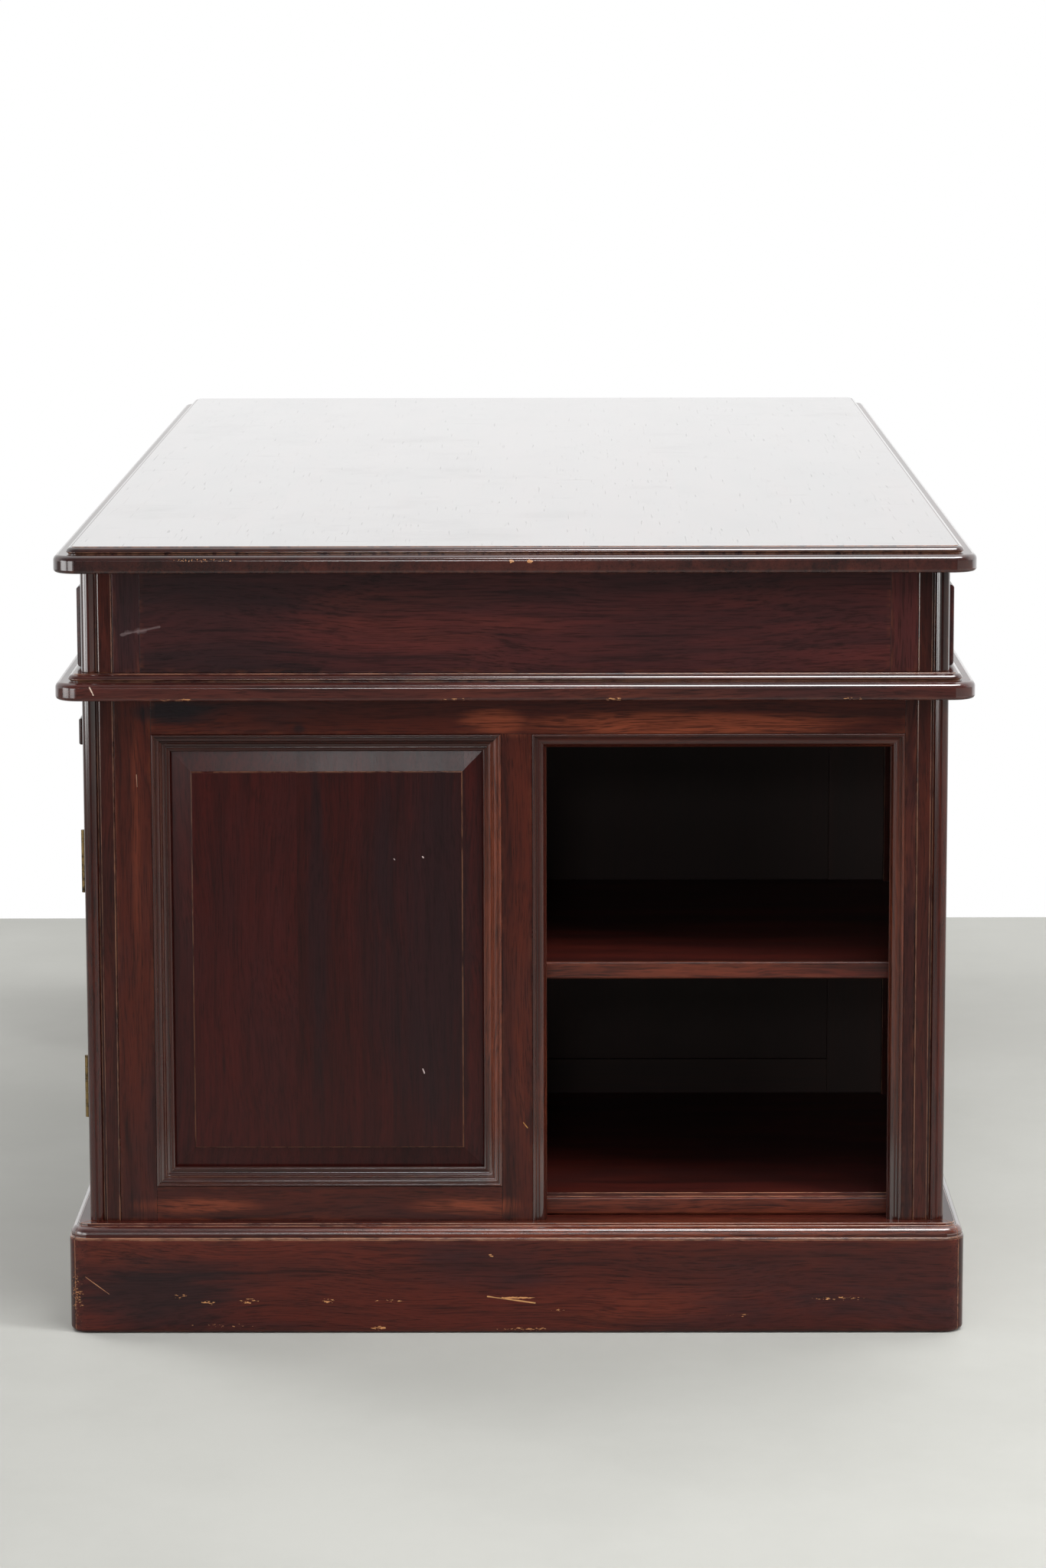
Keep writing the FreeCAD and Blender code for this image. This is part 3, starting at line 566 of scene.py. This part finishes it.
cloudy = spots_on(
    FRAME_FACE,
    (-0.075, 0.40, 0.06, 0.24, 0.55),
    (-0.195, 0.40, 0.012, 0.2, 0.5),
    (-0.13, 0.47, 0.012, 0.12, 0.5))
pale_nicks = scratches_on(
    FIELD_FACE,
    (-0.0925, 0.2630, -0.0910, 0.2588, 0.0008, colour(190, 170, 168), 0.9),
    (-0.1197, 0.4748, -0.1190, 0.4738, 0.0007, colour(190, 170, 168), 0.9),
    (-0.0917, 0.4769, -0.0909, 0.4760, 0.0007, colour(190, 170, 168), 0.9))
panel_wood = mahogany(
    "panel_mahogany", colour(38, 14, 13), colour(62, 19, 16), figure=0.35, glow=0.0, dusk=0.3,
    arris=(RUBBED, 0.25), gloss=0.17, sheen=0.2, grain=0.8, stave=0.165, dusk_and_shade_spots=cloudy,
    scratches=pale_nicks, niche_dust_and_light=True)
for side in ("right", "left"):
    joinery(side + "_end_frame", frame_wood, ease=0.0003)
    joinery(side + "_end_mouldings", moulding_wood, ease=0.0003)
    joinery(side + "_end_panel", panel_wood, ease=0.0006, fielded=True)

# Fixed long side and kneehole side of each pedestal, of the same mahogany: stiles and rails round
# one fielded panel on the long side, and round two plain panels towards the kneehole.

for side in ("right", "left"):
    joinery(side + "_side_frame", frame_wood, ease=0.0003)
    joinery(side + "_side_panel", panel_wood, ease=0.0006, fielded=True)
    joinery(side + "_knee_frame", frame_wood, ease=0.0003)
    joinery(side + "_knee_panels", panel_wood, ease=0.0003)

# Writing slides: over each cupboard a board with an edge strip and two small knobs, which pulls out
# between rails and guides on its own bearer board.

for side in ("right", "left"):
    joinery(side + "_slide_case", frame_wood, ease=0.0003)
    joinery(side + "_slide", moulding_wood, body=side + "_slide", ease=0.0004)

# Cupboard doors: mahogany, framed and fielded like the ends, each with a turned knob and hung on
# two brass butt hinges. The brass is aged and dull.

brass = new_finish("aged_brass")
metal = shader_of(brass)
tarnish = where().times(160.0, 160.0, 160.0).noise(3.0, 0.6)
laid(colour(56, 46, 34), colour(120, 100, 66), tarnish.rise(0.42, 0.68)).into(metal, "Base Color")
(0.3 + tarnish * 0.25).into(metal, "Roughness")
metal.inputs["Metallic"].default_value = 1.0
for side in ("right", "left"):
    door = side + "_door"
    joinery(door + "_frame", frame_wood, body=door, ease=0.0003)
    joinery(door + "_panel", panel_wood, body=door, ease=0.0006,
            fielded=True)
    for node in (side + "_hinge_post_halves", side + "_hinge_door_halves"):
        nodes[node].data.materials[0] = brass

# Hinge screws: brass wood screws, three to a leaf, with slotted flat heads let in flush, each
# turned to its own angle.

SCREW_SIDES = 20
SCREW_RADIUS = 0.0024
SCREW_RIM = 0.0003
SLOT_HALF = 0.0003
HEAD_DEPTH = 0.0006
HEAD_PROUD = 0.00004
LEAF_FACE = 0.0001
LEAF_FEET = (0.209, 0.437)
LEAF_HEIGHT = 0.063
LEAF_MIDDLE = -0.4165
HINGE_PIN = 0.843
THIRDS = (1 / 6, 1 / 2, 5 / 6)         # the middles of three equal lengths
FACING = 0.9                           # how squarely a face must look one way to be picked by it
bpy.ops.object.select_all(action="DESELECT")
bpy.ops.mesh.primitive_cylinder_add(vertices=SCREW_SIDES, radius=SCREW_RADIUS, depth=HEAD_DEPTH,
                                    location=(0, 0, HEAD_PROUD - HEAD_DEPTH / 2))
screw = bpy.context.object
bpy.ops.object.transform_apply(location=True)


def select_faces(piece, wanted):
    """Selects in edit mode only the faces for which wanted(face) holds."""
    bpy.ops.object.mode_set(mode="OBJECT")
    for face in piece.data.polygons:
        face.select = wanted(face)
    bpy.ops.object.mode_set(mode="EDIT")


def whole_head(face):
    """The face of the head inside its rim, or what is left of it on each side of a cut."""
    return face.normal.z > FACING and len(face.vertices) > 4


def slot_floor(face):
    """The strip between the two cuts, which is sunk to make the slot."""
    return (face.normal.z > FACING and abs(face.center.x) < SLOT_HALF / 2
            and abs(face.center.y) < SLOT_HALF)


bpy.ops.object.mode_set(mode="EDIT")
bpy.ops.mesh.select_mode(type="FACE")
bpy.ops.mesh.select_all(action="DESELECT")
select_faces(screw, lambda face: face.normal.z > FACING)
bpy.ops.mesh.inset(thickness=SCREW_RIM)
for edge_x in (-SLOT_HALF, SLOT_HALF):
    select_faces(screw, whole_head)
    bpy.ops.mesh.bisect(plane_co=(edge_x, 0, 0), plane_no=(1, 0, 0))
select_faces(screw, slot_floor)
bpy.ops.mesh.extrude_region_move(TRANSFORM_OT_translate={"value": (0, 0, -HEAD_DEPTH / 2)})
bpy.ops.object.mode_set(mode="OBJECT")


def set_screws(name, places, body):
    """Copies of the screw, each at its place and with its own slot angle, joined into one piece."""
    grown.seed(name)
    heads = []
    for place, facing in places:
        head = bpy.data.objects.new(name, screw.data.copy())
        bpy.context.scene.collection.objects.link(head)
        aim = Vector((0, 0, 1)).rotation_difference(facing).to_matrix().to_4x4()
        turn = Matrix.Rotation(grown.uniform(0, math.pi), 4, "Z")
        head.data.transform(Matrix.Translation(place) @ aim @ turn)
        heads.append(head)
    screws = joined(heads)
    screws.data.materials.append(brass)
    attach(screws, body)


for side, hand in (("right", 1), ("left", -1)):
    for leaf, toward, body in (("post", -1, "carcass"), ("door", 1, side + "_door")):
        face_x = hand * (HINGE_PIN - toward * LEAF_FACE)
        facing = Vector((hand * toward, 0, 0))
        places = [(Vector((face_x, hand * LEAF_MIDDLE, foot + LEAF_HEIGHT * share)), facing)
                  for foot in LEAF_FEET for share in THIRDS]
        set_screws(side + "_hinge_" + leaf + "_screws", places, body)
bpy.data.objects.remove(screw)

# Waist slabs that close the pedestals, and the writing top that lies on the frieze: mahogany
# boards, all with the same worked edge, which is polished bright and chipped here and there.

SLAB_EDGE = 0.9
chips = spots_on(
    SLAB_EDGE,
    (0.095, 0.638, 0.022, 0.003, 1.3),
    (-0.33, 0.6375, 0.03, 0.003, 1.1),
    (-0.06, 0.638, 0.05, 0.002, 1.0),
    (0.33, 0.638, 0.02, 0.002, 1.2),
    deep=0.03)
knock = scratches_on(
    SLAB_EDGE,
    (-0.4146, 0.6505, -0.4108, 0.6425, 0.0011, colour(214, 190, 172), 0.95))
slab_wood = mahogany(
    "slab_mahogany", colour(40, 22, 21), colour(78, 36, 30), glow=0.3, dusk=0.6,
    arris=(RUBBED, 0.7), gloss=0.14, sheen=0.4, bare_spots=chips, scratches=knock)


def toward_right():
    """Polish that grows from a little under half on the left long side to full past the middle."""
    return where().axis("Y").rise(-0.36, 0.1) * 0.55 + 0.45


polish_mouldings(slab_wood, strength=toward_right())
for side in ("right", "left"):
    joinery(side + "_waist_slab", slab_wood, ease=0.0003, along="Y")

WRITING_FACE = (0.7855, 0.7858)        # just under the flat of the top
edge_wear = spots_on(
    SLAB_EDGE,
    (-0.30, 0.7745, 0.06, 0.003, 1.0),
    (-0.003, 0.7732, 0.004, 0.003, 1.6),
    (0.015, 0.7732, 0.004, 0.003, 1.6),
    deep=0.03)
top_wood = mahogany(
    "top_mahogany", colour(38, 23, 22), colour(72, 36, 30), glow=0.2, dusk=0.5,
    arris=(RUBBED, 0.7), gloss=0.1, sheen=0.5, grain=0.6, stave=0.21, bare_spots=edge_wear)
position = where()
scratch = position.times(14.0, 420.0, 10.0).noise(2.0, 0.6).rise(0.64, 0.74)
cross_scratch = position.plus((4.0, 2.0, 0.0)).times(260.0, 9.0, 10.0).noise(2.0, 0.6)
cross_scratch = cross_scratch.rise(0.67, 0.77)
dull = position.times(7.0, 7.0, 7.0).noise(4.0, 0.6).rise(0.52, 0.78)
marks = scratch.most(cross_scratch).most(dull * 0.28) * 0.5
polish_mouldings(top_wood, strength=toward_right(),
                 flats=position.axis("Z").rise(*WRITING_FACE) * (1 - marks))
joinery("top", top_wood, ease=0.0003)

# Frieze: mahogany end boards between short posts, and rails over the drawers. Inside it are the
# plain boards that the drawers run on and between.

FRIEZE_FACE = 0.875
scuffs = scratches_on(
    FRIEZE_FACE,
    (-0.385, 0.6985, -0.3475, 0.7062, 0.0016, colour(150, 132, 132), 0.22),
    (-0.378, 0.7012, -0.362, 0.7026, 0.0034, colour(150, 132, 132), 0.12))
# painted shade: the left part of the frieze end darker, where less light falls
left_half_shade = spots_on(
    FRIEZE_FACE,
    (-0.30, 0.711, 0.16, 0.07, 0.45))
frieze_wood = mahogany(
    "frieze_mahogany", colour(43, 22, 23), colour(76, 32, 30), glow=0.15, dusk=0.6,
    arris=(GRIME, 0.5), gloss=0.2, scratches=scuffs, dusk_and_shade_spots=left_half_shade)
for node in ("frieze_end_right", "frieze_end_left", "frieze_rails"):
    joinery(node, frieze_wood, ease=0.0003)
for node in ("frieze_floor", "frieze_partitions"):
    joinery(node, inner_wood)

# Drawers: three to a long side, back to back, each a lipped mahogany front with turned knobs on a
# box of oak sides, back and bottom.

oak_wood = mahogany(
    "lining_oak", colour(120, 84, 52), colour(160, 120, 80), glow=0.0, dusk=0.0,
    arris=(GRIME, 0.2), gloss=0.6)
for row in ("front", "back"):
    for place_name in ("left", "middle", "right"):
        drawer = row + "_drawer_" + place_name
        joinery(drawer + "_front", frieze_wood, body=drawer, ease=0.0003)
        joinery(drawer + "_box", oak_wood, body=drawer, ease=0.0005)

# Dovetails: the ends of the oak drawer sides, cut in three tails that are lapped into the back of
# the drawer front, flush with its ends.

TAIL_LENGTH = 0.010
TAIL_NARROW = 0.009
TAIL_FLARE = 1.5
TAIL_DEPTH = 0.0008
TAIL_PROUD = 0.0002
for row, toward in (("front", -1), ("back", 1)):
    for place_name in ("left", "middle", "right"):
        drawer = row + "_drawer_" + place_name
        grown.seed(drawer)
        low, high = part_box(drawer + "_box")
        near = low[1] if toward < 0 else high[1]
        tails = []
        for end, outward in ((low[0], -1), (high[0], 1)):
            for share in THIRDS:
                bpy.ops.object.select_all(action="DESELECT")
                bpy.ops.mesh.primitive_cube_add(
                    size=1, scale=(TAIL_DEPTH, TAIL_LENGTH, TAIL_NARROW),
                    location=(end + outward * (TAIL_PROUD - TAIL_DEPTH / 2),
                              near + toward * TAIL_LENGTH / 2,
                              low[2] + (high[2] - low[2]) * share))
                tail = bpy.context.object
                bpy.ops.object.transform_apply(location=True, scale=True)
                bpy.ops.object.mode_set(mode="EDIT")
                select_faces(tail, lambda face: face.normal.y * toward > FACING)
                bpy.ops.transform.resize(value=(1, 1, TAIL_FLARE))
                bpy.ops.object.mode_set(mode="OBJECT")
                mark_grain(tail, "Y")
                tails.append(tail)
        dovetails = joined(tails)
        dovetails.name = drawer + "_dovetails"
        dovetails.data.materials.append(oak_wood)
        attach(dovetails, drawer)

# The room: a plain pale floor, a little uneven in tone, and a wall beyond the desk that is white to
# the camera and in reflections, and lets all other light through.

ROOM_HALF = 12.0
FLOOR_PLACE = -0.0005
bpy.ops.object.select_all(action="DESELECT")
bpy.ops.mesh.primitive_plane_add(size=2 * ROOM_HALF, location=(0, 0, FLOOR_PLACE))
floor = bpy.context.object
floor.name = "studio_floor"
floor_finish = new_finish("studio_floor")
shader = shader_of(floor_finish)
stain = where().times(2.2, 2.2, 2.2).noise(5.0, 0.65)
mottled = laid(colour(185, 185, 180), colour(180, 180, 175), stain.rise(0.35, 0.65))
mottled.into(shader, "Base Color")
shader.inputs["Roughness"].default_value = 0.7
shader.inputs["Specular IOR Level"].default_value = 0.2
floor.data.materials.append(floor_finish)

WALL_PLACE = -1.33
CLEAR, WHITE = 1, 2                    # the two shaders that the wall's Mix Shader takes
bpy.ops.mesh.primitive_plane_add(size=2 * ROOM_HALF, location=(WALL_PLACE, 0, ROOM_HALF))
wall = bpy.context.object
wall.rotation_euler = (0, math.radians(90), 0)
wall.name = "studio_wall"
wall_finish = new_finish("studio_wall")
seen = Shade.node("ShaderNodeLightPath", output="Is Camera Ray")
mirrored = Shade.node("ShaderNodeLightPath", output="Is Glossy Ray")
behind = Shade.node("ShaderNodeNewGeometry", output="Backfacing")
Shade.node("ShaderNodeMixShader", None, {
    "Fac": seen.most(mirrored) * (1 - behind),
    CLEAR: Shade.node("ShaderNodeBsdfTransparent"),
    WHITE: Shade.node("ShaderNodeEmission", None, {"Color": (1, 1, 1, 1)}),
}).into(Shade.tree.nodes["Material Output"], "Surface")
wall.data.materials.append(wall_finish)

# Light: an even white surround, dimmer where the polish mirrors the camera's end of the room or the
# ceiling, and soft lamps round the desk. The last three lamps leave no shape in the polish.

AMBIENT = 0.42
world = bpy.data.worlds.new("studio")
bpy.context.scene.world = world
world.use_nodes = True
Shade.tree = world.node_tree
seen = Shade.node("ShaderNodeLightPath", output="Is Camera Ray")
mirrored = Shade.node("ShaderNodeLightPath", output="Is Glossy Ray")
aim = Shade.node("ShaderNodeTexCoord", output="Generated")
toward_camera = aim.axis("X").rise(-0.2, 0.5)
overhead = aim.axis("Z").rise(0.15, 0.7)
dimmed = (0.9 - AMBIENT - toward_camera * 0.8).least(0.6 - overhead * 0.55)
background = Shade.tree.nodes["Background"]
background.inputs["Color"].default_value = (1, 1, 1, 1)
(AMBIENT + mirrored * dimmed).most(seen).into(background, "Strength")


def soft_lamp(name, place, aim, size, power, spread=180, in_polish=True):
    """A soft rectangular lamp of that width and height and power in watts, pointed at the desk."""
    lamp = bpy.data.lights.new(name, "AREA")
    lamp.shape = "RECTANGLE"
    lamp.size, lamp.size_y = size
    lamp.energy = power
    lamp.spread = math.radians(spread)
    holder = bpy.data.objects.new(name, lamp)
    bpy.context.scene.collection.objects.link(holder)
    holder.location = place
    holder.rotation_euler = (Vector(aim) - Vector(place)).to_track_quat("-Z", "Y").to_euler()
    holder.visible_glossy = in_polish


soft_lamp("ceiling_strip", (1.75, 0.8, 2.5), (0.9, 0.4, 0.4), (1.7, 0.8), 10.5, spread=90)
soft_lamp("front_lamp", (6.0, -0.25, 1.84), (0.9, -0.1, 0.6), (0.5, 0.4), 10.5)
soft_lamp("left_window", (3.5, -1.95, 0.8), (0.9, -0.45, 0.8), (1.4, 1.3), 5, spread=90)
soft_lamp("far_left_window", (2.1, -3.15, 0.8), (0.9, -0.45, 0.8), (1.7, 1.3), 7, spread=90)
soft_lamp("right_lamp", (2.2, 3.0, 2.1), (0.7, 0.5, 0.3), (1.0, 1.0), 75, in_polish=False)
soft_lamp("back_lamp", (-1.0, 1.5, 3.4), (0.0, 1.1, 0.0), (3.2, 1.2), 68, in_polish=False)
soft_lamp("back_left_lamp", (-0.5, -1.9, 3.0), (-0.2, -0.9, 0.0), (1.2, 1.2), 24, spread=120,
          in_polish=False)

# Camera: a long lens, level with a standing person's chest, looking down a little at the end of the
# desk and turned a little off its length.

EYE = (5.65955, 0.03636, 1.32066)
YAW, PITCH, ROLL = math.radians(0.3447), math.radians(9.1462), math.radians(0.1354)
FOCAL, SENSOR = 113.32, 36.0           # millimetres
CLIP_END = 100.0
bpy.context.scene.view_settings.view_transform = "Standard"
camera_data = bpy.data.cameras.new("camera")
camera_data.sensor_fit = "AUTO"
camera_data.sensor_width = SENSOR
camera_data.lens = FOCAL
camera_data.clip_end = CLIP_END
camera = bpy.data.objects.new("camera", camera_data)
bpy.context.scene.collection.objects.link(camera)
camera.location = EYE
camera.rotation_mode = "QUATERNION"
forward, right, up = Vector((-1, 0, 0)), Vector((0, 1, 0)), Vector((0, 0, 1))
turn = Quaternion(up, YAW)
forward, right = turn @ forward, turn @ right
turn = Quaternion(right, -PITCH)
forward, up = turn @ forward, turn @ up
turn = Quaternion(forward, ROLL)
right, up = turn @ right, turn @ up
camera.rotation_quaternion = Matrix((right, up, -forward)).transposed().to_quaternion()
bpy.context.scene.camera = camera
